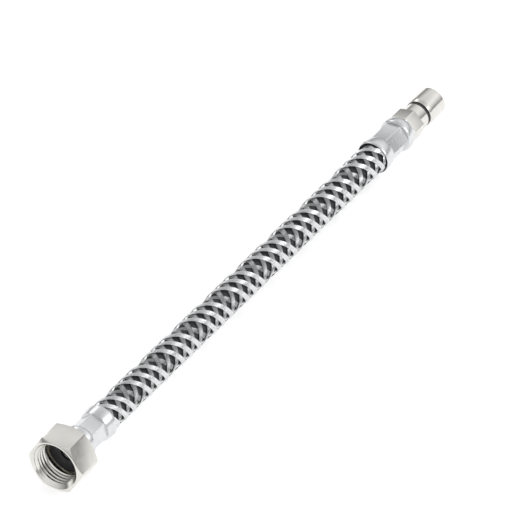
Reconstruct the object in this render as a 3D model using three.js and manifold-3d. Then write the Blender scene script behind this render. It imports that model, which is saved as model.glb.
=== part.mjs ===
// Flexible tap hose, 300 mm long, lying straight along +X with +Z up, in millimetres.
// A rubber water hose wears a sleeve of woven steel bands. A crimped ferrule grips each end over a barbed
// stem. One stem ends in a flange that a free-turning union nut pulls onto a washer. The other is the
// tap tail: a hexagon for the spanner, a neck, a groove with its sealing ring, and a round stub.
// The origin is under the middle of the hose, on the surface that the nut's lowest flat rests on.

import * as THREE from 'three';
import { mergeVertices } from 'three/addons/utils/BufferGeometryUtils.js';
import Module from 'manifold-3d';

// Water way, barbed stems and the necks behind them
const WATER_WAY_RADIUS = 3.3;
const STEM_WALL = 0.6;
const BARB_HEIGHT = 0.25;
const BARB_PITCH = 3;
const BARB_COUNT = 3;
const STEM_SETBACK = 2;
const NECK_RADIUS = 5.2;
const NECK_REACH = 0.6;
const SEAT_GAP = 0.1;

// Union nut, with the clearances that let it turn on the flanged stem
const NUT_ACROSS_FLATS = 24;
const NUT_LENGTH = 14.3;
const NUT_BORE_RADIUS = 9.3;
const NUT_LIP_LENGTH = 1.25;
const NUT_FACE_INSET = 0.2;
const NUT_FRONT_CHAMFER = 1.5;
const NUT_BACK_CHAMFER = 1.35;
const MOUTH_CHAMFER_LENGTH = 1.7;
const MOUTH_CHAMFER_DEPTH = 1.95;
const NUT_NECK_CLEARANCE = 0.4;
const SWIVEL_PLAY = 0.15;
const NUT_FERRULE_GAP = 0.4;

// Flange of the nut's stem, and the washer in front of it
const FLANGE_THICKNESS = 1;
const FLANGE_CLEARANCE = 0.8;
const WASHER_THICKNESS = 1.5;
const WASHER_CLEARANCE = 0.3;
const WASHER_HOLE_CLEARANCE = 0.1;

// Rubber liner, squeezed thinner under each crimp
const FREE_HOSE_LENGTH = 214.4;
const LINER_CLEARANCE = 0.15;
const LINER_WALL = 1.4;
const CRIMPED_LINER_WALL = 1;
const LINER_TAPER = 0.8;

// Braid: four starts turn one way and four the other, in three layers
const BAND_THICKNESS = 0.26;
const BAND_WIDTH = 2.75;
const BAND_GAP = 0.14;
const BRAID_LEAD = 25.4;
const BRAID_STARTS = 4;
const BRAID_TUCK = 1.8;
const RIGHT_BAND_ANGLE = 37.2;
const LEFT_BAND_ANGLE = 76.9;
const SUNK_RIGHT_BAND = 3;

// Ferrules: a six-sided crimp between an end collar that swells and a hose collar that flares to its mouth
const FERRULE_LENGTH = 22.6;
const FERRULE_WALL = 0.5;
const FERRULE_CLEARANCE = 0.45;
const CRIMP_CLEARANCE = 0.25;
const NUT_CRIMP_LENGTH = 10;
const TAP_CRIMP_LENGTH = 11.8;
const HOSE_COLLAR_LENGTH = 5.9;
const COLLAR_FOOT_STEP = 0.15;
const END_COLLAR_DROP = 0.9;
const END_COLLAR_SHOULDER = 1.3;
const FLARE_KNEE_LENGTH = 2.3;
const FLARE_KNEE_DROP = 0.25;
const MOUTH_EDGE_LENGTH = 0.6;
const MOUTH_EDGE_DEPTH = 0.3;
const LIP_CLEARANCE = 0.1;
const NUT_CRIMP_ANGLE = 18.2;
const TAP_CRIMP_ANGLE = 51.8;

// Tap tail outside its ferrule
const TAIL_ACROSS_FLATS = 12.65;
const TAIL_HEX_LENGTH = 7.4;
const TAIL_HEX_ANGLE = 45.4;
const TAIL_NECK_RADIUS = 5.95;
const TAIL_NECK_LENGTH = 5.3;
const GROOVE_WIDTH = 1.4;
const RING_THICKNESS = 1;
const RING_PROUD = 0.1;
const RING_CLEARANCE = 0.05;
const LEAD_IN_LENGTH = 2;
const LEAD_IN_DEPTH = 0.28;
const STUB_RADIUS = 6.58;
const STUB_LENGTH = 9.5;
const STUB_CHAMFER = 0.6;

// Facets: sides of a full turn, steps of a curve, and how far a cutting shape runs past what it cuts
const NUT_SIDES = 48;
const ROUND_SIDES = 26;
const BAND_STEPS_PER_TURN = 16;
const RING_SECTION_SIDES = 6;
const COLLAR_ARC_STEPS = 2;
const CUT_OVERRUN = 1;
const HEX_SIDES = 6;
const FULL_TURN = 2 * Math.PI;

// Radii from the water way outwards
const stemRoot = WATER_WAY_RADIUS + STEM_WALL;
const barbCrest = stemRoot + BARB_HEIGHT;
const linerInside = barbCrest + LINER_CLEARANCE;
const linerOutside = linerInside + LINER_WALL;
const layerStep = BAND_GAP + BAND_THICKNESS;
const sunkLayer = linerOutside + BAND_GAP;
const middleLayer = sunkLayer + layerStep;
const proudLayer = middleLayer + layerStep;
const braidOutside = proudLayer + BAND_THICKNESS;
const collarInside = braidOutside + FERRULE_CLEARANCE;
const collarOutside = collarInside + FERRULE_WALL;
const crimpedLiner = linerInside + CRIMPED_LINER_WALL;
const crimpInsideFlats = 2 * (crimpedLiner + CRIMP_CLEARANCE);
const crimpOutsideFlats = crimpInsideFlats + 2 * FERRULE_WALL;
const collarFoot = crimpOutsideFlats / Math.sqrt(3) + COLLAR_FOOT_STEP;
const lipHole = NECK_RADIUS + LIP_CLEARANCE;

// Places along the hose, from the nut's mouth
const nutFerruleStart = NUT_LENGTH + NUT_FERRULE_GAP;
const nutFerruleEnd = nutFerruleStart + FERRULE_LENGTH;
const tapFerruleStart = nutFerruleEnd + FREE_HOSE_LENGTH;
const tapFerruleEnd = tapFerruleStart + FERRULE_LENGTH;
const hexStart = tapFerruleEnd + SEAT_GAP;
const hexEnd = hexStart + TAIL_HEX_LENGTH;
const grooveStart = hexEnd + TAIL_NECK_LENGTH;
const grooveEnd = grooveStart + GROOVE_WIDTH;
const stubStart = grooveEnd + LEAD_IN_LENGTH;
const overallLength = stubStart + STUB_LENGTH;
const shoulderDepth = FERRULE_WALL + NECK_REACH;
const nutShoulder = nutFerruleStart + shoulderDepth;
const tapShoulder = tapFerruleEnd - shoulderDepth;

// The two crimped ends. Each is measured from its fitting, in the direction of the hose.
const crimpEnd = FERRULE_LENGTH - HOSE_COLLAR_LENGTH;
const nutEnd = {
  place: nutFerruleStart,
  direction: 1,
  crimpStart: crimpEnd - NUT_CRIMP_LENGTH,
  crimpAngle: NUT_CRIMP_ANGLE,
};
const tapEnd = {
  place: tapFerruleEnd,
  direction: -1,
  crimpStart: crimpEnd - TAP_CRIMP_LENGTH,
  crimpAngle: TAP_CRIMP_ANGLE,
};

const material = {
  nickel: new THREE.MeshStandardMaterial({ color: 0xc9c6bd, roughness: 0.28, metalness: 1 }),
  crimpedSteel: new THREE.MeshStandardMaterial({ color: 0xc4c7ca, roughness: 0.34, metalness: 1 }),
  braidSteel: new THREE.MeshStandardMaterial({ color: 0xd2d5d8, roughness: 0.3, metalness: 1 }),
  linerRubber: new THREE.MeshStandardMaterial({ color: 0x17181a, roughness: 0.75, metalness: 0 }),
  sealRubber: new THREE.MeshStandardMaterial({ color: 0x202123, roughness: 0.6, metalness: 0 }),
};

// Solid modelling: turned pieces, six-sided bars, and the joins and cuts between them

const wasm = await Module();
wasm.setup();

// Turns an outline of [place along the hose, radius] points about the hose's axis.
// An outline that doesn't touch the axis is closed on itself, and gives a ring.
function turned(outline, sides = ROUND_SIDES) {
  const points = outline.map(([along, radius]) => new THREE.Vector2(radius, along));
  if (points[0].x > 0) points.push(points[0].clone());
  const geometry = new THREE.LatheGeometry(points, sides);
  geometry.rotateZ(-Math.PI / 2);
  return geometry;
}

function roundBar(radius, from, to) {
  return turned([[from, 0], [from, radius], [to, radius], [to, 0]]);
}

// A six-sided bar along the hose with one corner at the given angle, from +Y towards +Z.
function hexBar(acrossFlats, from, to, cornerAngle) {
  const cornerRadius = acrossFlats / Math.sqrt(3);
  const geometry = new THREE.CylinderGeometry(cornerRadius, cornerRadius, to - from, HEX_SIDES);
  geometry.rotateZ(-Math.PI / 2);
  geometry.rotateX(THREE.MathUtils.degToRad(cornerAngle) + FULL_TURN / 12);
  geometry.translate((from + to) / 2, 0, 0);
  return geometry;
}

// Puts an outline measured from a crimped end into its place along the hose, in rising order.
function placed(outline, end) {
  const points = outline.map(([distance, radius]) => [end.place + end.direction * distance, radius]);
  return end.direction > 0 ? points : points.reverse();
}

function toSolid(geometry) {
  const bare = geometry.clone();
  bare.deleteAttribute('normal');
  bare.deleteAttribute('uv');
  const merged = mergeVertices(bare);
  const corners = merged.index.array;
  const triangles = [];
  for (let i = 0; i < corners.length; i += 3) {
    const [a, b, c] = corners.slice(i, i + 3);
    if (a !== b && b !== c && c !== a) triangles.push(a, b, c);
  }
  return new wasm.Manifold(new wasm.Mesh({
    numProp: 3,
    vertProperties: new Float32Array(merged.attributes.position.array),
    triVerts: new Uint32Array(triangles),
  }));
}

function toGeometry(solid) {
  const mesh = solid.getMesh();
  const geometry = new THREE.BufferGeometry();
  geometry.setAttribute('position', new THREE.BufferAttribute(mesh.vertProperties, 3));
  geometry.setIndex(new THREE.BufferAttribute(mesh.triVerts, 1));
  geometry.computeVertexNormals();
  return geometry;
}

// Union nut: a turned ring with chamfered ends, cut to six flats, with one flat facing down

function unionNut() {
  const blankRadius = NUT_ACROSS_FLATS / Math.sqrt(3) + CUT_OVERRUN;
  const faceRadius = NUT_ACROSS_FLATS / 2 - NUT_FACE_INSET;
  const cornerRise = blankRadius - CUT_OVERRUN - faceRadius;
  const overrunShare = (blankRadius - faceRadius) / cornerRise;
  const lipStart = NUT_LENGTH - NUT_LIP_LENGTH;
  const ring = turned([
    [0, NUT_BORE_RADIUS + MOUTH_CHAMFER_DEPTH],
    [0, faceRadius],
    [NUT_FRONT_CHAMFER * overrunShare, blankRadius],
    [NUT_LENGTH - NUT_BACK_CHAMFER * overrunShare, blankRadius],
    [NUT_LENGTH, faceRadius],
    [NUT_LENGTH, NECK_RADIUS + NUT_NECK_CLEARANCE],
    [lipStart, NECK_RADIUS + NUT_NECK_CLEARANCE],
    [lipStart, NUT_BORE_RADIUS],
    [MOUTH_CHAMFER_LENGTH, NUT_BORE_RADIUS],
  ], NUT_SIDES);
  const flats = hexBar(NUT_ACROSS_FLATS, -CUT_OVERRUN, NUT_LENGTH + CUT_OVERRUN, 0);
  return toGeometry(toSolid(ring).intersect(toSolid(flats)));
}

// Barbed stems: steep steps face the fitting, and ramps face the hose that slides over them

// The stem's outline under its ferrule, from the shoulder to the free end.
function barbedStem(end) {
  const points = [];
  for (let i = 0; i < BARB_COUNT; i += 1) {
    const step = end.crimpStart + i * BARB_PITCH;
    points.push([step, stemRoot], [step, barbCrest]);
  }
  points.push([end.crimpStart + BARB_COUNT * BARB_PITCH, stemRoot]);
  points.push([FERRULE_LENGTH - STEM_SETBACK, stemRoot]);
  return placed(points, end);
}

const flangeBack = NUT_LENGTH - NUT_LIP_LENGTH - SWIVEL_PLAY;
const flangeFront = flangeBack - FLANGE_THICKNESS;
const washerBack = flangeFront - SEAT_GAP;

function nutTail() {
  const flangeRadius = NUT_BORE_RADIUS - FLANGE_CLEARANCE;
  const stem = barbedStem(nutEnd);
  const stemEnd = stem[stem.length - 1][0];
  return turned([
    [flangeFront, WATER_WAY_RADIUS],
    [flangeFront, flangeRadius],
    [flangeBack, flangeRadius],
    [flangeBack, NECK_RADIUS],
    [nutShoulder, NECK_RADIUS],
    [nutShoulder, stemRoot],
    ...stem,
    [stemEnd, WATER_WAY_RADIUS],
  ]);
}

function sealingWasher() {
  const holeRadius = WATER_WAY_RADIUS + WASHER_HOLE_CLEARANCE;
  const outerRadius = NUT_BORE_RADIUS - WASHER_CLEARANCE;
  const front = washerBack - WASHER_THICKNESS;
  return turned([
    [front, holeRadius],
    [front, outerRadius],
    [washerBack, outerRadius],
    [washerBack, holeRadius],
  ]);
}

// Tap tail: turned outside, a hexagon joined on, and the water way bored through it all

function tapTail() {
  const grooveFloor = TAIL_NECK_RADIUS + RING_PROUD - RING_THICKNESS - RING_CLEARANCE;
  const stem = barbedStem(tapEnd);
  const outside = turned([
    [stem[0][0], 0],
    ...stem,
    [tapShoulder, stemRoot],
    [tapShoulder, NECK_RADIUS],
    [hexStart + TAIL_HEX_LENGTH / 2, NECK_RADIUS],
    [hexStart + TAIL_HEX_LENGTH / 2, TAIL_NECK_RADIUS],
    [grooveStart, TAIL_NECK_RADIUS],
    [grooveStart, grooveFloor],
    [grooveEnd, grooveFloor],
    [grooveEnd, STUB_RADIUS - LEAD_IN_DEPTH],
    [stubStart, STUB_RADIUS],
    [overallLength - STUB_CHAMFER, STUB_RADIUS],
    [overallLength, STUB_RADIUS - STUB_CHAMFER],
    [overallLength, 0],
  ]);
  const hexagon = hexBar(TAIL_ACROSS_FLATS, hexStart, hexEnd, TAIL_HEX_ANGLE);
  const bore = roundBar(WATER_WAY_RADIUS, stem[0][0] - CUT_OVERRUN, overallLength + CUT_OVERRUN);
  return toGeometry(toSolid(outside).add(toSolid(hexagon)).subtract(toSolid(bore)));
}

function tailRing() {
  const sectionRadius = RING_THICKNESS / 2;
  const centreRadius = TAIL_NECK_RADIUS + RING_PROUD - sectionRadius;
  const geometry = new THREE.TorusGeometry(centreRadius, sectionRadius, RING_SECTION_SIDES, ROUND_SIDES);
  geometry.rotateY(Math.PI / 2);
  geometry.translate((grooveStart + grooveEnd) / 2, 0, 0);
  return geometry;
}

// Rubber liner from shoulder to shoulder, waisted under each crimp

// Points of the waist under one crimp; the crimp's inside reaches one wall into each collar.
function waist(end) {
  const from = end.crimpStart - FERRULE_WALL - CRIMP_CLEARANCE;
  const to = crimpEnd + FERRULE_WALL + CRIMP_CLEARANCE;
  return placed([
    [from - LINER_TAPER, linerOutside],
    [from, crimpedLiner],
    [to, crimpedLiner],
    [to + LINER_TAPER, linerOutside],
  ], end);
}

function hoseLiner() {
  const start = nutShoulder + SEAT_GAP;
  const end = tapShoulder - SEAT_GAP;
  return turned([
    [start, linerInside],
    [start, linerOutside],
    ...waist(nutEnd),
    ...waist(tapEnd),
    [end, linerOutside],
    [end, linerInside],
  ]);
}

// Ferrule: two turned collars joined by the six-sided crimp, then hollowed to one wall.
// The end collar closes to a lip round the stem's neck, and the hose collar is open.

// The end collar swells from its lip to a crown, then rounds down to the crimp; the inset gives its inside.
function endCollar(length, inset) {
  const crown = length - END_COLLAR_SHOULDER;
  const lipRadius = collarOutside - END_COLLAR_DROP - inset;
  const footRadius = collarFoot - inset;
  const rise = crown - inset;
  const shoulder = END_COLLAR_SHOULDER - inset;
  const height = collarOutside - collarFoot;
  const swell = new THREE.EllipseCurve(crown, lipRadius, rise, END_COLLAR_DROP, Math.PI, Math.PI / 2, true);
  const fall = new THREE.EllipseCurve(crown, footRadius, shoulder, height, Math.PI / 2, 0, true);
  const points = [...swell.getPoints(COLLAR_ARC_STEPS), ...fall.getPoints(COLLAR_ARC_STEPS).slice(1)];
  return points.map((point) => [point.x, point.y]);
}

function ferrule(end) {
  const turnedSolid = (outline) => {
    const first = outline[0][0];
    const last = outline[outline.length - 1][0];
    return toSolid(turned(placed([[first, 0], ...outline, [last, 0]], end)));
  };
  const crimpSolid = (flats, from, to) => {
    const [[start], [stop]] = placed([[from, 0], [to, 0]], end);
    return toSolid(hexBar(flats, start, stop, end.crimpAngle));
  };
  const knee = crimpEnd + FLARE_KNEE_LENGTH;
  const edgeStart = FERRULE_LENGTH - MOUTH_EDGE_LENGTH;
  const crimpFrom = end.crimpStart - FERRULE_WALL;
  const crimpTo = crimpEnd + FERRULE_WALL;

  const outside = turnedSolid(endCollar(end.crimpStart, 0))
    .add(crimpSolid(crimpOutsideFlats, crimpFrom, crimpTo))
    .add(turnedSolid([
      [crimpEnd, collarFoot],
      [knee, collarOutside - FLARE_KNEE_DROP],
      [edgeStart, collarOutside],
      [FERRULE_LENGTH, collarOutside - MOUTH_EDGE_DEPTH],
    ]));
  const hollow = turnedSolid([[-CUT_OVERRUN, lipHole], [FERRULE_WALL + CUT_OVERRUN, lipHole]])
    .add(turnedSolid(endCollar(end.crimpStart, FERRULE_WALL)))
    .add(crimpSolid(crimpInsideFlats, crimpFrom - CUT_OVERRUN, crimpTo + CUT_OVERRUN))
    .add(turnedSolid([
      [crimpTo, collarFoot - FERRULE_WALL],
      [knee, collarInside - FLARE_KNEE_DROP],
      [edgeStart, collarInside],
      [FERRULE_LENGTH + CUT_OVERRUN, collarInside],
    ]));
  return toGeometry(outside.subtract(hollow));
}

// Braid band: a flat section swept along a helix about the hose

class BandPath extends THREE.Curve {
  constructor(radius, startAngle, hand) {
    super();
    this.radius = radius;
    this.startAngle = THREE.MathUtils.degToRad(startAngle);
    this.hand = hand;
    this.start = nutFerruleEnd - BRAID_TUCK;
    this.length = FREE_HOSE_LENGTH + 2 * BRAID_TUCK;
  }

  angleAt(t) {
    return this.startAngle + this.hand * FULL_TURN * this.length * t / BRAID_LEAD;
  }

  getPoint(t, target = new THREE.Vector3()) {
    const angle = this.angleAt(t);
    const y = this.radius * Math.cos(angle);
    const z = this.radius * Math.sin(angle);
    return target.set(this.start + this.length * t, y, z);
  }

  // The section's first axis stays radial and its second stays along the hose.
  computeFrenetFrames(steps) {
    const frames = { tangents: [], normals: [], binormals: [] };
    for (let i = 0; i <= steps; i += 1) {
      const t = i / steps;
      const angle = this.angleAt(t);
      frames.tangents.push(this.getTangent(t));
      frames.normals.push(new THREE.Vector3(0, Math.cos(angle), Math.sin(angle)));
      frames.binormals.push(new THREE.Vector3(-this.hand, 0, 0));
    }
    return frames;
  }
}

function braidBand(innerRadius, startAngle, hand) {
  const halfWidth = BAND_WIDTH / 2;
  const section = new THREE.Shape([
    new THREE.Vector2(0, -halfWidth),
    new THREE.Vector2(BAND_THICKNESS, -halfWidth),
    new THREE.Vector2(BAND_THICKNESS, halfWidth),
    new THREE.Vector2(0, halfWidth),
  ]);
  const path = new BandPath(innerRadius, startAngle, hand);
  const steps = Math.ceil(path.length / BRAID_LEAD * BAND_STEPS_PER_TURN);
  return new THREE.ExtrudeGeometry(section, { steps, extrudePath: path });
}

// Assembly: everything is modelled from the nut's mouth, then centred over the origin

const tapHose = new THREE.Group();
tapHose.position.set(-overallLength / 2, 0, NUT_ACROSS_FLATS / 2);

function addPart(name, geometry, finish) {
  const mesh = new THREE.Mesh(geometry, finish.clone());
  mesh.name = name;
  tapHose.add(mesh);
}

addPart('union_nut', unionNut(), material.nickel);
addPart('sealing_washer', sealingWasher(), material.sealRubber);
addPart('nut_tail', nutTail(), material.nickel);
addPart('ferrule_nut_end', ferrule(nutEnd), material.crimpedSteel);
addPart('hose_liner', hoseLiner(), material.linerRubber);

for (let i = 0; i < BRAID_STARTS; i += 1) {
  const number = i + 1;
  const spacing = i * 360 / BRAID_STARTS;
  const rightLayer = number === SUNK_RIGHT_BAND ? sunkLayer : proudLayer;
  const rightBand = braidBand(rightLayer, RIGHT_BAND_ANGLE + spacing, 1);
  const leftBand = braidBand(middleLayer, LEFT_BAND_ANGLE + spacing, -1);
  addPart(`braid_band_right_${number}`, rightBand, material.braidSteel);
  addPart(`braid_band_left_${number}`, leftBand, material.braidSteel);
}

addPart('ferrule_tap_end', ferrule(tapEnd), material.crimpedSteel);
addPart('tap_tail', tapTail(), material.nickel);
addPart('tail_ring', tailRing(), material.sealRubber);

export default tapHose;
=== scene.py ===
import math

import bpy
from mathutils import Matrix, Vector


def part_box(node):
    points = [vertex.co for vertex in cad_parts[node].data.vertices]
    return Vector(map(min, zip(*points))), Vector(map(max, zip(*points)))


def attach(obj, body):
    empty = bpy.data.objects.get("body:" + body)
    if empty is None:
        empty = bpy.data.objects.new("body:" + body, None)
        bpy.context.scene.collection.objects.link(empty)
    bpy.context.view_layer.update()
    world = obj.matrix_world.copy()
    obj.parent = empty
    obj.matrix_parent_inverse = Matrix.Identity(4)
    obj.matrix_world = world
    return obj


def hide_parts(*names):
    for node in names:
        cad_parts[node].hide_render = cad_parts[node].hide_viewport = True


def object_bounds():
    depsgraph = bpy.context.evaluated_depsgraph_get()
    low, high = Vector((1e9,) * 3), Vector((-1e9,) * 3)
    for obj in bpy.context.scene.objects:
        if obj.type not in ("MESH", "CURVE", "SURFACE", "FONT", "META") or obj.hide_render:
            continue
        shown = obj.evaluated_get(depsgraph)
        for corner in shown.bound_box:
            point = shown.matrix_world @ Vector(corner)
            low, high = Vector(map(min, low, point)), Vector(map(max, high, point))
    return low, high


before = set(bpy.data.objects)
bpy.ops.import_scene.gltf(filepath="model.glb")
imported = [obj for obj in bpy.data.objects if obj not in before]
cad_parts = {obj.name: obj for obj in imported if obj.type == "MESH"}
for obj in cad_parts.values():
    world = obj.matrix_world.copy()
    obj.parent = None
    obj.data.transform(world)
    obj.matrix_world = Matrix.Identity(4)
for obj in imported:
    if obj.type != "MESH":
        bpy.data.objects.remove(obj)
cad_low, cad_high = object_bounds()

# Lengths are in millimetres along the hose from the nut's mouth, and radii from the hose's axis.
# Angles turn about that axis from +Y towards +Z. mesh_point() puts them in the frame, in metres.
MM = 0.001
MOUTH_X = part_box("union_nut")[0].x
AXIS_Z = (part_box("union_nut")[0].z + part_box("union_nut")[1].z) / 2


def mesh_point(along, radius, angle):
    y = radius * MM * math.cos(angle)
    z = AXIS_Z + radius * MM * math.sin(angle)
    return (MOUTH_X + along * MM, y, z)


def span(node):
    """Where a CAD node starts and ends along the hose."""
    low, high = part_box(node)
    return (low.x - MOUTH_X) / MM, (high.x - MOUTH_X) / MM


def reach(node):
    """A CAD node's largest radius."""
    low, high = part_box(node)
    return (high.z - low.z) / 2 / MM


# Camera: the drawing is a parallel projection, so a very long lens stands far away

VIEW_AZIMUTH = math.radians(-57.44)
VIEW_ELEVATION = math.radians(38.18)
CAMERA_DISTANCE = 10.4
CAMERA_CLIP_END = 4 * CAMERA_DISTANCE
SENSOR_WIDTH = 36
SEEN_WIDTH = 0.2265
PHOTO_WIDTH, PHOTO_HEIGHT = 531, 529
HOSE_MIDDLE_PIXEL = (245.25, 281.6)


def add_camera():
    flat = math.cos(VIEW_ELEVATION)
    east, north = math.sin(VIEW_AZIMUTH) * flat, -math.cos(VIEW_AZIMUTH) * flat
    back = Vector((east, north, math.sin(VIEW_ELEVATION)))
    turn = (-back).to_track_quat("-Z", "Y")
    pixel = SEEN_WIDTH / PHOTO_WIDTH
    sideways = (PHOTO_WIDTH / 2 - HOSE_MIDDLE_PIXEL[0]) * pixel
    upwards = (HOSE_MIDDLE_PIXEL[1] - PHOTO_HEIGHT / 2) * pixel
    middle = Vector(((cad_low.x + cad_high.x) / 2, 0, AXIS_Z))
    aim = middle + turn @ Vector((sideways, upwards, 0))
    data = bpy.data.cameras.new("camera")
    data.sensor_width = SENSOR_WIDTH
    data.lens = SENSOR_WIDTH * CAMERA_DISTANCE / SEEN_WIDTH
    data.clip_end = CAMERA_CLIP_END
    camera = bpy.data.objects.new("camera", data)
    camera.rotation_mode = "QUATERNION"
    camera.rotation_quaternion = turn
    camera.location = aim + back * CAMERA_DISTANCE
    bpy.context.scene.collection.objects.link(camera)
    bpy.context.scene.camera = camera


add_camera()

# Materials: noise scales are in cells a metre, and bump distances in metres.
# A CLOUD is the noise that varies a colour, and a GRAIN the one that varies a finish.

NOISE_LOW, NOISE_HIGH = 0.3, 0.7
BUMP_DISTANCE = 0.00003


class Nodes:
    """A material's node tree, with short calls for what the materials here share."""

    def __init__(self, name):
        self.material = bpy.data.materials.new(name)
        self.material.use_nodes = True
        self.tree = self.material.node_tree
        self.shader = self.tree.nodes["Principled BSDF"]

    def add(self, kind, **inputs):
        node = self.tree.nodes.new(kind)
        for socket, value in inputs.items():
            self.put(node, socket.replace("_", " "), value)
        return node

    def put(self, node, socket, value):
        if isinstance(value, bpy.types.NodeSocket):
            self.tree.links.new(value, node.inputs[socket])
        else:
            node.inputs[socket].default_value = value

    def place(self, stretch=(1, 1, 1)):
        """The surface point in the piece's own coordinates, squeezed or stretched."""
        source = self.add("ShaderNodeTexCoord").outputs["Object"]
        return self.add("ShaderNodeMapping", Vector=source, Scale=stretch).outputs["Vector"]

    def noise(self, scale, detail=3.0, stretch=(1, 1, 1)):
        node = self.add("ShaderNodeTexNoise", Vector=self.place(stretch), Scale=scale, Detail=detail)
        return node.outputs["Fac"]

    def between(self, factor, low, high):
        """A number between two, by a factor that is mostly around a half."""
        node = self.add("ShaderNodeMapRange", Value=factor)
        self.put(node, "From Min", NOISE_LOW)
        self.put(node, "From Max", NOISE_HIGH)
        self.put(node, "To Min", low)
        self.put(node, "To Max", high)
        return node.outputs["Result"]

    def blend(self, factor, first, second):
        """A colour between two, by a factor that is mostly around a half."""
        node = self.add("ShaderNodeValToRGB", Fac=factor)
        ends = node.color_ramp.elements
        ends[0].position, ends[0].color = NOISE_LOW, (*first, 1)
        ends[1].position, ends[1].color = NOISE_HIGH, (*second, 1)
        return node.outputs["Color"]

    def math(self, operation, *values):
        node = self.add("ShaderNodeMath")
        node.operation = operation
        for i, value in enumerate(values):
            self.put(node, i, value)
        return node.outputs["Value"]

    def bump(self, height, strength, distance=BUMP_DISTANCE):
        node = self.add("ShaderNodeBump", Height=height, Strength=strength, Distance=distance)
        self.put(self.shader, "Normal", node.outputs["Normal"])

    def surface(self, **inputs):
        for socket, value in inputs.items():
            self.put(self.shader, socket.replace("_", " "), value)


NICKEL_DARK, NICKEL_LIGHT = (0.71, 0.695, 0.66), (0.75, 0.735, 0.70)
NICKEL_CLOUD, NICKEL_GRAIN = 180, 420
NICKEL_ROUGHNESS = (0.17, 0.22)
NICKEL_TURNING_MARKS = (5200, 60, 60)
NICKEL_MARK_STRENGTH = 0.06

CRIMP_DARK, CRIMP_LIGHT = (0.68, 0.69, 0.70), (0.73, 0.74, 0.75)
CRIMP_CLOUD, CRIMP_GRAIN = 240, 500
CRIMP_ROUGHNESS = (0.25, 0.32)
CRIMP_DRAWING_MARKS = (150, 3800, 3800)
CRIMP_MARK_STRENGTH = 0.08

MARK_DETAIL = 2


def worked_metal(name, dark, light, cloud, grain, roughness, marks, mark_strength):
    """Bare metal with the tool's faint marks: marks says how close they lie along X, Y and Z."""
    nodes = Nodes(name)
    cloud_noise = nodes.noise(cloud)
    mark_noise = nodes.noise(1, MARK_DETAIL, stretch=marks)
    nodes.surface(
        Base_Color=nodes.blend(cloud_noise, dark, light),
        Metallic=1.0,
        Roughness=nodes.between(nodes.noise(grain), *roughness),
    )
    nodes.bump(mark_noise, mark_strength)
    return nodes.material


# Radii between which the braid's painted shade goes from darkest, in the recess, to none, on the
# proud bands.
RECESS_RADIUS = 6.3
PROUD_RADIUS = 6.66
BRAID_PAINTED_SHADE, BRAID_LIGHT = (0.42, 0.425, 0.43), (0.87, 0.88, 0.89)
BRAID_SPECKLE, BRAID_SPECKLE_SHARE = 500, 0.3
BRAID_GRAIN = 700
BRAID_ROUGHNESS = (0.22, 0.3)


def braid_steel_material():
    """Bright wire, darker where it lies deeper: painted shade where the bands lie under others, with
    a random speckle.
    """
    nodes = Nodes("braid_steel")
    point = nodes.add("ShaderNodeTexCoord").outputs["Object"]
    split = nodes.add("ShaderNodeSeparateXYZ", Vector=point)
    up = nodes.math("SUBTRACT", split.outputs["Z"], AXIS_Z)
    level = nodes.add("ShaderNodeCombineXYZ", X=split.outputs["Y"], Y=up)
    radius = nodes.add("ShaderNodeVectorMath", Vector=level.outputs["Vector"])
    radius.operation = "LENGTH"
    # Painted shade: the wire's colour darkens from the proud radius in to the recess radius, and a
    # random speckle is added.
    painted_recess_shade = nodes.add("ShaderNodeMapRange", Value=radius.outputs["Value"])
    nodes.put(painted_recess_shade, "From Min", RECESS_RADIUS * MM)
    nodes.put(painted_recess_shade, "From Max", PROUD_RADIUS * MM)
    noise = nodes.noise(BRAID_SPECKLE)
    shade_plus_speckle = nodes.math("MULTIPLY_ADD", noise, BRAID_SPECKLE_SHARE, painted_recess_shade.outputs["Result"])
    painted_shade_and_speckle = nodes.math("SUBTRACT", shade_plus_speckle, BRAID_SPECKLE_SHARE / 2)
    nodes.surface(
        Base_Color=nodes.blend(painted_shade_and_speckle, BRAID_PAINTED_SHADE, BRAID_LIGHT),
        Metallic=1.0,
        Roughness=nodes.between(nodes.noise(BRAID_GRAIN), *BRAID_ROUGHNESS),
    )
    return nodes.material


LINER_DARK, LINER_LIGHT = (0.022, 0.023, 0.025), (0.04, 0.041, 0.043)
LINER_ROUGHNESS = 0.62
LINER_GRAIN = 2600
SEAL_DARK, SEAL_LIGHT = (0.03, 0.031, 0.033), (0.05, 0.051, 0.053)
SEAL_ROUGHNESS = 0.5
SEAL_GRAIN = 3400
RUBBER_CLOUD, RUBBER_SHEEN = 260, 600
RUBBER_ROUGHNESS_SPREAD = 0.06
RUBBER_GRAIN_DETAIL = 4
RUBBER_GRAIN_STRENGTH = 0.2
RUBBER_GRAIN_DISTANCE = 0.00005


def rubber_material(name, dark, light, roughness, grain):
    nodes = Nodes(name)
    low, high = roughness - RUBBER_ROUGHNESS_SPREAD, roughness + RUBBER_ROUGHNESS_SPREAD
    nodes.surface(
        Base_Color=nodes.blend(nodes.noise(RUBBER_CLOUD), dark, light),
        Roughness=nodes.between(nodes.noise(RUBBER_SHEEN), low, high),
    )
    grain_noise = nodes.noise(grain, RUBBER_GRAIN_DETAIL)
    nodes.bump(grain_noise, RUBBER_GRAIN_STRENGTH, RUBBER_GRAIN_DISTANCE)
    return nodes.material


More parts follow.
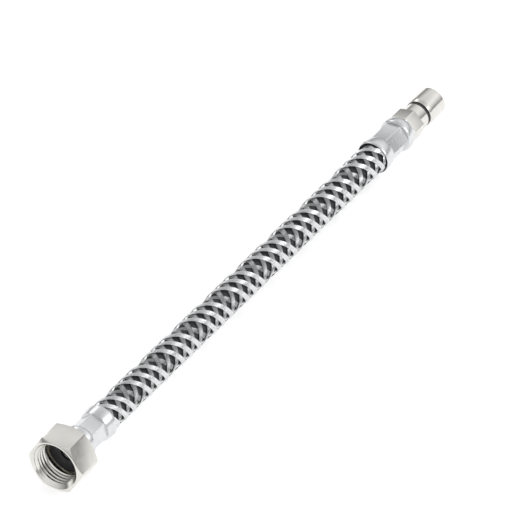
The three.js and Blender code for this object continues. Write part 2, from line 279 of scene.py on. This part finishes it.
nickel = worked_metal(
    "nickel_plate",
    NICKEL_DARK,
    NICKEL_LIGHT,
    NICKEL_CLOUD,
    NICKEL_GRAIN,
    NICKEL_ROUGHNESS,
    NICKEL_TURNING_MARKS,
    NICKEL_MARK_STRENGTH,
)
crimped_steel = worked_metal(
    "crimped_steel",
    CRIMP_DARK,
    CRIMP_LIGHT,
    CRIMP_CLOUD,
    CRIMP_GRAIN,
    CRIMP_ROUGHNESS,
    CRIMP_DRAWING_MARKS,
    CRIMP_MARK_STRENGTH,
)
braid_steel = braid_steel_material()
liner_rubber = rubber_material("liner_rubber", LINER_DARK, LINER_LIGHT, LINER_ROUGHNESS, LINER_GRAIN)
seal_rubber = rubber_material("seal_rubber", SEAL_DARK, SEAL_LIGHT, SEAL_ROUGHNESS, SEAL_GRAIN)

# Meshes: every turned or six-sided piece is one outline, worked out anew at each angle about the axis

SHARP_ANGLE = math.radians(32)
ARC_STEPS = 3
EASING_SHARE = 0.45
ROUND_ANGLES = 144
HEX_SIDES = 6
HEX_SIDE_ANGLE = 60
HEX_HALF_ANGLE = 30
HEX_FLAT_ANGLES = 20
COS_HALF = math.cos(math.radians(HEX_HALF_ANGLE))
SIN_HALF = 0.5
ANGLE_SLACK = 1e-9

# Easings, from the keenest corner to the roundest: how far from it the rounding starts, at most
KEEN = 0.03
FINE = 0.05
CRISP = 0.08
CLEAN = 0.1
NEAT = 0.12
BROKEN = 0.15
SOFT = 0.2
MOULDED = 0.25
ROUNDED = 0.3


def add_piece(name, points, faces, material, body, node=None):
    mesh = bpy.data.meshes.new(name)
    mesh.from_pydata(points, [], faces)
    mesh.materials.append(material)
    mesh.shade_smooth()
    mesh.set_sharp_from_angle(angle=SHARP_ANGLE)
    piece = bpy.data.objects.new(name, mesh)
    bpy.context.scene.collection.objects.link(piece)
    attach(piece, body)
    if node:
        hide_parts(node)
    return piece


def eased(outline):
    """Rounds the corners of a closed outline of (along, radius, easing) points."""
    points = []
    for i, (x, r, easing) in enumerate(outline):
        corner = Vector((x, r))
        before = Vector(outline[i - 1][:2]) - corner
        after = Vector(outline[(i + 1) % len(outline)][:2]) - corner
        cut = min(easing, before.length * EASING_SHARE, after.length * EASING_SHARE)
        start = corner + before.normalized() * cut
        end = corner + after.normalized() * cut
        for step in range(ARC_STEPS + 1):
            t = step / ARC_STEPS
            points.append(start * (1 - t) ** 2 + corner * 2 * t * (1 - t) + end * t ** 2)
    return points


def round_angles():
    return [2 * math.pi * i / ROUND_ANGLES for i in range(ROUND_ANGLES)]


def hex_corner_turn(apothem, easing):
    """Half the angle that one eased corner of a hexagon takes up, seen from its centre."""
    centre = (apothem - easing) / COS_HALF
    return math.atan2(easing * SIN_HALF, centre + easing * COS_HALF)


def hex_angles(corner, apothem, easing):
    """Angles about a hexagon, with the few that its eased corners need."""
    turn = hex_corner_turn(apothem, easing)
    flat = math.radians(HEX_SIDE_ANGLE) - 2 * turn
    angles = []
    for side in range(HEX_SIDES):
        at = math.radians(corner + HEX_SIDE_ANGLE * side)
        angles += [at - turn, at - turn / 2, at, at + turn / 2]
        angles += [at + turn + flat * i / HEX_FLAT_ANGLES for i in range(HEX_FLAT_ANGLES)]
    return angles


def hex_radius(angle, corner, apothem, easing):
    """How far a hexagon with eased corners reaches at an angle."""
    turned = math.degrees(angle) - corner
    off = math.radians((turned + HEX_HALF_ANGLE) % HEX_SIDE_ANGLE - HEX_HALF_ANGLE)
    if abs(off) >= hex_corner_turn(apothem, easing) - ANGLE_SLACK:
        return apothem / math.cos(math.radians(HEX_HALF_ANGLE) - abs(off))
    centre = (apothem - easing) / COS_HALF
    return centre * math.cos(off) + math.sqrt(easing ** 2 - (centre * math.sin(off)) ** 2)


def turned_piece(name, outline_at, angles, material, body, node=None):
    """Sweeps a closed outline about the axis; outline_at gives it for an angle."""
    columns = [eased(outline_at(angle)) for angle in angles]
    count = len(columns[0])
    points = [mesh_point(x, r, a) for a, column in zip(angles, columns) for x, r in column]
    faces = []
    for j in range(len(angles)):
        near, far = j * count, (j + 1) % len(angles) * count
        for i in range(count):
            k = (i + 1) % count
            faces.append((near + i, far + i, far + k, near + k))
    return add_piece(name, points, faces, material, body, node)


def round_piece(name, outline, material, body, node=None):
    return turned_piece(name, lambda angle: outline, round_angles(), material, body, node)


# Rubber liner: the hose itself

WATER_WAY_RADIUS = 3.3
LINER_INSIDE = 4.3
CRIMPED_LINER_RADIUS = 5.3
WAIST_TAPER = 0.8
WAIST_MARGIN = 0.75

# Both ferrules have the same length, with a longer crimp at the tap's end.
HOSE_COLLAR_LENGTH = 5.9
NUT_CRIMP_LENGTH = 10.0
TAP_CRIMP_LENGTH = 11.8

nut_ferrule_start, nut_ferrule_end = span("ferrule_nut_end")
tap_ferrule_start, tap_ferrule_end = span("ferrule_tap_end")
ferrule_length = nut_ferrule_end - nut_ferrule_start
nut_end_collar = ferrule_length - HOSE_COLLAR_LENGTH - NUT_CRIMP_LENGTH
tap_end_collar = ferrule_length - HOSE_COLLAR_LENGTH - TAP_CRIMP_LENGTH
liner_start, liner_end = span("hose_liner")
liner_radius = reach("hose_liner")


def waist(crimp_start, crimp_length):
    """Where the crimp squeezes the liner in."""
    start = crimp_start - WAIST_MARGIN
    end = crimp_start + crimp_length + WAIST_MARGIN
    return [
        (start - WAIST_TAPER, liner_radius, ROUNDED),
        (start, CRIMPED_LINER_RADIUS, ROUNDED),
        (end, CRIMPED_LINER_RADIUS, ROUNDED),
        (end + WAIST_TAPER, liner_radius, ROUNDED),
    ]


def add_liner():
    outline = [
        (liner_start, LINER_INSIDE, CLEAN),
        (liner_start, liner_radius, CLEAN),
        *waist(nut_ferrule_start + nut_end_collar, NUT_CRIMP_LENGTH),
        *waist(tap_ferrule_start + HOSE_COLLAR_LENGTH, TAP_CRIMP_LENGTH),
        (liner_end, liner_radius, CLEAN),
        (liner_end, LINER_INSIDE, CLEAN),
    ]
    return round_piece("liner_tube", outline, liner_rubber, "hose", "hose_liner")


liner = add_liner()

# Braid: each band is a flat bundle of fine wires on a helix

BRAID_LEAD = 25.4
BAND_WIDTH = 2.75
BAND_THICKNESS = 0.26
BAND_CROWN = 0.04
WIRES_PER_BAND = 9
WIRE_FILL = 0.97
WIRE_SIDES = 6
WIRE_STEPS_PER_TURN = 40
RIGHT_BAND_ANGLE = 37.2
LEFT_BAND_ANGLE = 76.9
BAND_COUNT = 4


def add_band(node, start_angle, hand):
    """The wires of one band. hand is 1 for a right-handed helix and -1 for a left-handed one."""
    start, end = span(node)
    first_along = start + BAND_WIDTH / 2
    wire_radius = BAND_THICKNESS / 2
    middle_radius = reach(node) - wire_radius
    rise = BRAID_LEAD / (2 * math.pi * middle_radius)
    slope = math.hypot(1, rise)
    across = BAND_WIDTH / WIRES_PER_BAND
    steps = math.ceil((end - start) / BRAID_LEAD * WIRE_STEPS_PER_TURN)
    points, faces = [], []
    for wire in range(WIRES_PER_BAND):
        place = wire - (WIRES_PER_BAND - 1) / 2
        share = place / (WIRES_PER_BAND / 2)
        base_radius = middle_radius - BAND_CROWN * share ** 2
        first = len(points)
        for step in range(steps + 1):
            along = start + (end - start) * step / steps
            travelled = along - first_along - place * across
            angle = math.radians(start_angle) + hand * 2 * math.pi * travelled / BRAID_LEAD
            for side in range(WIRE_SIDES):
                around = 2 * math.pi * side / WIRE_SIDES
                out = wire_radius * math.cos(around)
                over = wire_radius * WIRE_FILL * math.sin(around)
                sideways = -hand * over * rise / slope / base_radius
                points.append(mesh_point(along + over / slope, base_radius + out, angle + sideways))
        rings = [first + step * WIRE_SIDES for step in range(steps + 1)]
        for near, far in zip(rings, rings[1:]):
            for side in range(WIRE_SIDES):
                other = (side + 1) % WIRE_SIDES
                faces.append((near + side, near + other, far + other, far + side))
        faces.append([rings[0] + side for side in reversed(range(WIRE_SIDES))])
        faces.append([rings[-1] + side for side in range(WIRE_SIDES)])
    name = node.replace("band", "wires")
    return add_piece(name, points, faces, braid_steel, "hose", node)


def add_braid():
    bands = []
    for i in range(BAND_COUNT):
        spacing = 360 / BAND_COUNT * i
        bands.append(add_band(f"braid_band_right_{i + 1}", RIGHT_BAND_ANGLE + spacing, 1))
        bands.append(add_band(f"braid_band_left_{i + 1}", LEFT_BAND_ANGLE + spacing, -1))
    return bands


bands = add_braid()

# Ferrules: a tube left round at both ends and crimped to six flats between

FERRULE_WALL = 0.5
LIP_HOLE_RADIUS = 5.3
CRIMP_APOTHEM = 6.05
CRIMP_CORNER = 0.3
NUT_CRIMP_ANGLE = 18.2
TAP_CRIMP_ANGLE = 51.8
COLLAR_FOOT_STEP = 0.15
COLLAR_FOOT = CRIMP_APOTHEM / COS_HALF + COLLAR_FOOT_STEP
COLLAR_DROP = 0.9
COLLAR_SHOULDER = 1.3
COLLAR_STEPS = 7
MOUTH_EDGE_LENGTH = 0.6
MOUTH_EDGE_DEPTH = 0.3
FLARE_BOW = (2.3, 0.1)


def end_collar(length, collar, inset):
    """The end collar swells from its lip to a crown, then rounds down to the crimp."""
    crown = length - COLLAR_SHOULDER
    lip, foot = collar - COLLAR_DROP - inset, COLLAR_FOOT - inset
    points = []
    for i in range(COLLAR_STEPS + 1):
        turn = math.pi / 2 * i / COLLAR_STEPS
        along = crown - (crown - inset) * math.cos(turn)
        points.append((along, lip + COLLAR_DROP * math.sin(turn), FINE))
    for i in range(1, COLLAR_STEPS + 1):
        turn = math.pi / 2 * i / COLLAR_STEPS
        along = crown + (COLLAR_SHOULDER - inset) * math.sin(turn)
        points.append((along, foot + (collar - COLLAR_FOOT) * math.cos(turn), FINE))
    return points


def hose_collar(crimp_to, length, collar, inset):
    """The hose collar bows out from the crimp to its widest, close to the mouth."""
    foot = Vector((crimp_to, COLLAR_FOOT))
    widest = Vector((length - MOUTH_EDGE_LENGTH, collar))
    bow = Vector((crimp_to + FLARE_BOW[0], collar - FLARE_BOW[1]))
    points = []
    for i in range(COLLAR_STEPS + 1):
        t = i / COLLAR_STEPS
        along, radius = foot * (1 - t) ** 2 + bow * 2 * t * (1 - t) + widest * t ** 2
        points.append((along, radius - inset, FINE))
    return points


def add_ferrule(node, end_place, direction, crimp_length, corner):
    """direction is the way from the end collar to the hose, along the hose."""
    length = ferrule_length
    collar = reach(node)
    crimp_to = length - HOSE_COLLAR_LENGTH
    crimp_from = crimp_to - crimp_length
    inside_start = crimp_to + FERRULE_WALL
    inside_end = end_collar(crimp_from, collar, FERRULE_WALL)
    inside_flare = hose_collar(crimp_to, length, collar, FERRULE_WALL)
    inside_hose = [point for point in inside_flare if point[0] > inside_start]

    def outline_at(angle):
        crimp = hex_radius(angle, corner, CRIMP_APOTHEM, CRIMP_CORNER)
        crimp_inside = crimp - FERRULE_WALL
        points = [
            (0, LIP_HOLE_RADIUS, CRISP),
            *end_collar(crimp_from, collar, 0),
            (crimp_from, crimp, CRISP),
            (crimp_to, crimp, CRISP),
            *hose_collar(crimp_to, length, collar, 0),
            (length, collar - MOUTH_EDGE_DEPTH, BROKEN),
            (length, collar - FERRULE_WALL, CLEAN),
            *inside_hose[::-1],
            (inside_start, crimp_inside, CLEAN),
            (crimp_from - FERRULE_WALL, crimp_inside, CLEAN),
            *inside_end[::-1],
            (FERRULE_WALL, LIP_HOLE_RADIUS, CRISP),
        ]
        placed = [(end_place + direction * d, r, easing) for d, r, easing in points]
        return placed if direction > 0 else placed[::-1]

    name = f"{node}_shell"
    angles = hex_angles(corner, CRIMP_APOTHEM, CRIMP_CORNER)
    return turned_piece(name, outline_at, angles, crimped_steel, "hose", node)


add_ferrule("ferrule_nut_end", nut_ferrule_start, 1, NUT_CRIMP_LENGTH, NUT_CRIMP_ANGLE)
tap_ferrule = add_ferrule("ferrule_tap_end", tap_ferrule_end, -1, TAP_CRIMP_LENGTH, TAP_CRIMP_ANGLE)

# Union nut, with its thread as a ridge on a helix inside it

NUT_APOTHEM = reach("union_nut")
NUT_CORNER = 0.3
NUT_FACE_INSET = 0.2
NUT_FRONT_SLOPE = 0.73
NUT_BACK_SLOPE = 0.657
NUT_LIP_LENGTH = 1.25
NUT_LIP_HOLE = 5.6
MOUTH_RADIUS = 11.25
MOUTH_SLOPE = 1.147
THREAD_ROOT = 10.48
THREAD_CREST = 9.32
THREAD_PITCH = 1.814
THREAD_END = 9.4
THREAD_STEPS_PER_TURN = 72
THREAD_FADE_TURNS = 0.5
THREAD_START = 0.03

# Where the mouth's cone cuts the ridge, it ends this far inside the nut's metal.
SUNK = 0.03

# Half the ridge's section, from its foot to its crest: shares of the pitch and of the height
THREAD_HALF_SECTION = [(0.47, -0.04), (0.43, 0.06), (0.14, 0.9), (0.07, 1.0)]


def add_nut():
    length = span("union_nut")[1]
    face = NUT_APOTHEM - NUT_FACE_INSET
    lip = length - NUT_LIP_LENGTH
    mouth_end = (MOUTH_RADIUS - THREAD_ROOT) / MOUTH_SLOPE

    def outline_at(angle):
        flat = hex_radius(angle, 0, NUT_APOTHEM, NUT_CORNER)
        return [
            (mouth_end, THREAD_ROOT, FINE),
            (0, MOUTH_RADIUS, CRISP),
            (0, face, NEAT),
            ((flat - face) * NUT_FRONT_SLOPE, flat, NEAT),
            (length - (flat - face) * NUT_BACK_SLOPE, flat, NEAT),
            (length, face, NEAT),
            (length, NUT_LIP_HOLE, BROKEN),
            (lip, NUT_LIP_HOLE, CLEAN),
            (lip, THREAD_ROOT, ROUNDED),
        ]

    angles = hex_angles(0, NUT_APOTHEM, NUT_CORNER)
    name = "union_nut_body"
    return turned_piece(name, outline_at, angles, nickel, "nut", "union_nut")


def thread_section():
    """Offsets along the hose and heights above the root, from one foot to the other."""
    height = THREAD_ROOT - THREAD_CREST
    left = [(-w * THREAD_PITCH, h * height) for w, h in THREAD_HALF_SECTION]
    return left + [(-w, h) for w, h in reversed(left)]


def add_nut_thread():
    """The ridge starts in the mouth's cone and fades out before the washer."""
    section = thread_section()
    turns = THREAD_END / THREAD_PITCH
    steps = math.ceil(turns * THREAD_STEPS_PER_TURN)
    points, faces = [], []
    for step in range(steps + 1):
        turn = turns * step / steps
        fade = min(1, (turns - turn) / THREAD_FADE_TURNS)
        for offset, height in section:
            along = max(THREAD_START, turn * THREAD_PITCH + offset)
            cone = MOUTH_RADIUS - along * MOUTH_SLOPE + SUNK
            radius = max(THREAD_ROOT - height * fade, cone)
            points.append(mesh_point(along, radius, 2 * math.pi * turn))
    count = len(section)
    for step in range(steps):
        near, far = step * count, (step + 1) * count
        for i in range(count):
            k = (i + 1) % count
            faces.append((near + i, near + k, far + k, far + i))
    faces.append(list(reversed(range(count))))
    faces.append([steps * count + i for i in range(count)])
    return add_piece("union_nut_thread", points, faces, nickel, "nut")


add_nut()
add_nut_thread()

# Barbed stems, the flanged nut tail and the tap tail

STEM_RADIUS = 3.9
BARB_RADIUS = 4.15
BARB_PITCH = 3.0
BARB_COUNT = 3
NECK_RADIUS = 5.2
NECK_REACH = 1.1
FLANGE_THICKNESS = 1.0
SEAT_GAP = 0.1
TAIL_APOTHEM = 6.325
TAIL_CORNER = 0.35
TAIL_HEX_ANGLE = 45.4
TAIL_HEX_LENGTH = 7.4
TAIL_NECK_RADIUS = 5.95
TAIL_NECK_LENGTH = 5.3
GROOVE_WIDTH = 1.4
GROOVE_FLOOR = 5.0
LEAD_IN_LENGTH = 2.0
STUB_RADIUS = 6.58
LEAD_IN_RADIUS = 6.3
STUB_CHAMFER = 0.6


def barbs(first, direction, stem_end):
    """Barbs with a slope towards the stem's end and a steep back, and then the plain tip."""
    points = []
    for i in range(BARB_COUNT):
        step = first + direction * i * BARB_PITCH
        points += [(step, STEM_RADIUS, FINE), (step, BARB_RADIUS, KEEN)]
    last = first + direction * BARB_COUNT * BARB_PITCH
    return points + [(last, STEM_RADIUS, FINE), (stem_end, STEM_RADIUS, BROKEN)]


def add_nut_tail():
    front, end = span("nut_tail")
    flange = reach("nut_tail")
    back = front + FLANGE_THICKNESS
    shoulder = nut_ferrule_start + NECK_REACH
    outline = [
        (front, WATER_WAY_RADIUS, SOFT),
        (front, flange, BROKEN),
        (back, flange, BROKEN),
        (back, NECK_RADIUS, SOFT),
        (shoulder, NECK_RADIUS, CLEAN),
        (shoulder, STEM_RADIUS, CLEAN),
        *barbs(nut_ferrule_start + nut_end_collar, 1, end),
        (end, WATER_WAY_RADIUS, BROKEN),
    ]
    return round_piece("nut_tail_turned", outline, nickel, "hose", "nut_tail")


def add_tap_tail():
    """The hexagon starts one seat's gap behind the ferrule."""
    stem_end, end = span("tap_tail")
    hex_start = tap_ferrule_end + SEAT_GAP
    hex_end = hex_start + TAIL_HEX_LENGTH
    groove_start = hex_end + TAIL_NECK_LENGTH
    groove_end = groove_start + GROOVE_WIDTH
    shoulder = tap_ferrule_end - NECK_REACH

    def outline_at(angle):
        flat = hex_radius(angle, TAIL_HEX_ANGLE, TAIL_APOTHEM, TAIL_CORNER)
        return [
            (stem_end, WATER_WAY_RADIUS, BROKEN),
            *barbs(tap_ferrule_end - tap_end_collar, -1, stem_end)[::-1],
            (shoulder, STEM_RADIUS, CLEAN),
            (shoulder, NECK_RADIUS, CLEAN),
            (hex_start, NECK_RADIUS, CLEAN),
            (hex_start, flat, SOFT),
            (hex_end, flat, SOFT),
            (hex_end, TAIL_NECK_RADIUS, BROKEN),
            (groove_start, TAIL_NECK_RADIUS, NEAT),
            (groove_start, GROOVE_FLOOR, NEAT),
            (groove_end, GROOVE_FLOOR, NEAT),
            (groove_end, LEAD_IN_RADIUS, NEAT),
            (groove_end + LEAD_IN_LENGTH, STUB_RADIUS, ROUNDED),
            (end - STUB_CHAMFER, STUB_RADIUS, BROKEN),
            (end, STUB_RADIUS - STUB_CHAMFER, BROKEN),
            (end, WATER_WAY_RADIUS, ROUNDED),
        ]

    name = "tap_tail_turned"
    angles = hex_angles(TAIL_HEX_ANGLE, TAIL_APOTHEM, TAIL_CORNER)
    return turned_piece(name, outline_at, angles, nickel, "hose", "tap_tail")


add_nut_tail()
tap_tail = add_tap_tail()

# Seals: the washer inside the nut, and the ring in the tap tail's groove

WASHER_HOLE_CLEARANCE = 0.1
RING_SECTION = 0.5
RING_SECTION_STEPS = 20
RING_EASING = 0.01


def add_washer():
    front, back = span("sealing_washer")
    outer = reach("sealing_washer")
    hole = WATER_WAY_RADIUS + WASHER_HOLE_CLEARANCE
    outline = [
        (front, hole, SOFT),
        (front, outer, MOULDED),
        (back, outer, MOULDED),
        (back, hole, SOFT),
    ]
    return round_piece("washer_disc", outline, seal_rubber, "hose", "sealing_washer")


def add_tail_ring():
    low, high = span("tail_ring")
    middle = (low + high) / 2
    centre = reach("tail_ring") - RING_SECTION
    outline = []
    for i in range(RING_SECTION_STEPS):
        around = 2 * math.pi * i / RING_SECTION_STEPS
        along = middle - RING_SECTION * math.cos(around)
        radius = centre + RING_SECTION * math.sin(around)
        outline.append((along, radius, RING_EASING))
    return round_piece("tail_seal_ring", outline, seal_rubber, "hose", "tail_ring")


add_washer()
tail_ring = add_tail_ring()

# Studio: a white floor that carries the hose, a pale world and soft lamps

WHITE = (1, 1, 1, 1)
FLOOR_SIZE = 12
FLOOR_COLOUR = (0.68, 0.68, 0.68, 1)
FLOOR_ROUGHNESS = 0.9
FLOOR_GLOW = 0.56


def add_floor():
    """The floor slopes up a little, as the hose lies on the nut's back edge and the last collar."""
    nut_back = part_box("union_nut")[1].x
    collar_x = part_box("ferrule_tap_end")[1].x
    collar_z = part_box("ferrule_tap_end")[0].z
    slope = (collar_z - cad_low.z) / (collar_x - nut_back)
    half = FLOOR_SIZE / 2
    corners = [(-half, -half), (half, -half), (half, half), (-half, half)]
    points = [(x, y, cad_low.z + (x - nut_back) * slope) for x, y in corners]
    mesh = bpy.data.meshes.new("floor")
    mesh.from_pydata(points, [], [(0, 1, 2, 3)])
    mesh.materials.append(floor_material())
    floor = bpy.data.objects.new("floor", mesh)
    bpy.context.scene.collection.objects.link(floor)


def floor_material():
    """White paper; the camera, metal and glass see it lifted to white, and it keeps the shadow."""
    nodes = Nodes("floor")
    nodes.surface(Base_Color=FLOOR_COLOUR, Roughness=FLOOR_ROUGHNESS)
    path = nodes.add("ShaderNodeLightPath")
    glow = nodes.add("ShaderNodeEmission", Color=WHITE, Strength=FLOOR_GLOW)
    both = nodes.add("ShaderNodeAddShader")
    pick = nodes.add("ShaderNodeMixShader")
    output = nodes.tree.nodes["Material Output"]
    links = nodes.tree.links
    links.new(nodes.shader.outputs["BSDF"], both.inputs[0])
    links.new(glow.outputs["Emission"], both.inputs[1])
    seen = nodes.math("MAXIMUM", path.outputs["Is Camera Ray"], path.outputs["Is Glossy Ray"])
    seen = nodes.math("MAXIMUM", seen, path.outputs["Is Transmission Ray"])
    links.new(seen, pick.inputs["Fac"])
    links.new(nodes.shader.outputs["BSDF"], pick.inputs[1])
    links.new(both.outputs["Shader"], pick.inputs[2])
    links.new(pick.outputs["Shader"], output.inputs["Surface"])
    return nodes.material


# Grey of the world from the horizon, at a half, to the zenith, at one: white behind the floor's far
# edge, a dark band that metal mirrors, and then a bright sky.
SKY = [(0.5, 1.33), (0.51, 1.33), (0.53, 0.12), (0.56, 0.25), (0.66, 0.62), (0.8, 1.1), (1.0, 0.55)]

# The world is stronger towards the key lamp's side, -Y, than towards the far side.
SIDE_REACH = 0.8
NEAR_STRENGTH, FAR_STRENGTH = 1.2, 0.75


def add_world():
    """A studio that is the same for every ray, brighter on the side of the key lamp."""
    world = bpy.data.worlds.new("studio")
    world.use_nodes = True
    tree = world.node_tree
    tree.nodes.clear()
    direction = tree.nodes.new("ShaderNodeTexCoord")
    parts = tree.nodes.new("ShaderNodeSeparateXYZ")
    tone = tree.nodes.new("ShaderNodeValToRGB")
    ramp = tone.color_ramp
    ramp.elements[0].position, ramp.elements[1].position = SKY[0][0], SKY[-1][0]
    for place, _ in SKY[1:-1]:
        ramp.elements.new(place)
    for element, (_, grey) in zip(ramp.elements, SKY):
        element.color = (grey, grey, grey, 1)
    lift = tree.nodes.new("ShaderNodeMapRange")
    lift.inputs["From Min"].default_value = -1
    side = tree.nodes.new("ShaderNodeMapRange")
    side.inputs["From Min"].default_value = -SIDE_REACH
    side.inputs["From Max"].default_value = SIDE_REACH
    side.inputs["To Min"].default_value = NEAR_STRENGTH
    side.inputs["To Max"].default_value = FAR_STRENGTH
    around = tree.nodes.new("ShaderNodeBackground")
    output = tree.nodes.new("ShaderNodeOutputWorld")
    tree.links.new(direction.outputs["Generated"], parts.inputs["Vector"])
    tree.links.new(parts.outputs["Z"], lift.inputs["Value"])
    tree.links.new(parts.outputs["Y"], side.inputs["Value"])
    tree.links.new(lift.outputs["Result"], tone.inputs["Fac"])
    tree.links.new(side.outputs["Result"], around.inputs["Strength"])
    tree.links.new(tone.outputs["Color"], around.inputs["Color"])
    tree.links.new(around.outputs["Background"], output.inputs["Surface"])
    bpy.context.scene.world = world


LAMP_SIZE = (0.5, 0.4)
KEY_PLACE, KEY_POWER = (0.16, -0.78, 0.61), 1.9
REAR_PLACE, REAR_POWER = (0.4, 0.8, 0.6), 0.8


def add_lamp(name, place, power):
    data = bpy.data.lights.new(name, "AREA")
    data.shape = "RECTANGLE"
    data.size, data.size_y = LAMP_SIZE
    data.energy = power
    lamp = bpy.data.objects.new(name, data)
    lamp.location = place
    lamp.rotation_euler = (-Vector(place)).to_track_quat("-Z", "Y").to_euler()
    bpy.context.scene.collection.objects.link(lamp)


add_floor()
add_world()
add_lamp("key_lamp", KEY_PLACE, KEY_POWER)
add_lamp("rear_lamp", REAR_PLACE, REAR_POWER)

bpy.context.scene.view_settings.view_transform = "Standard"
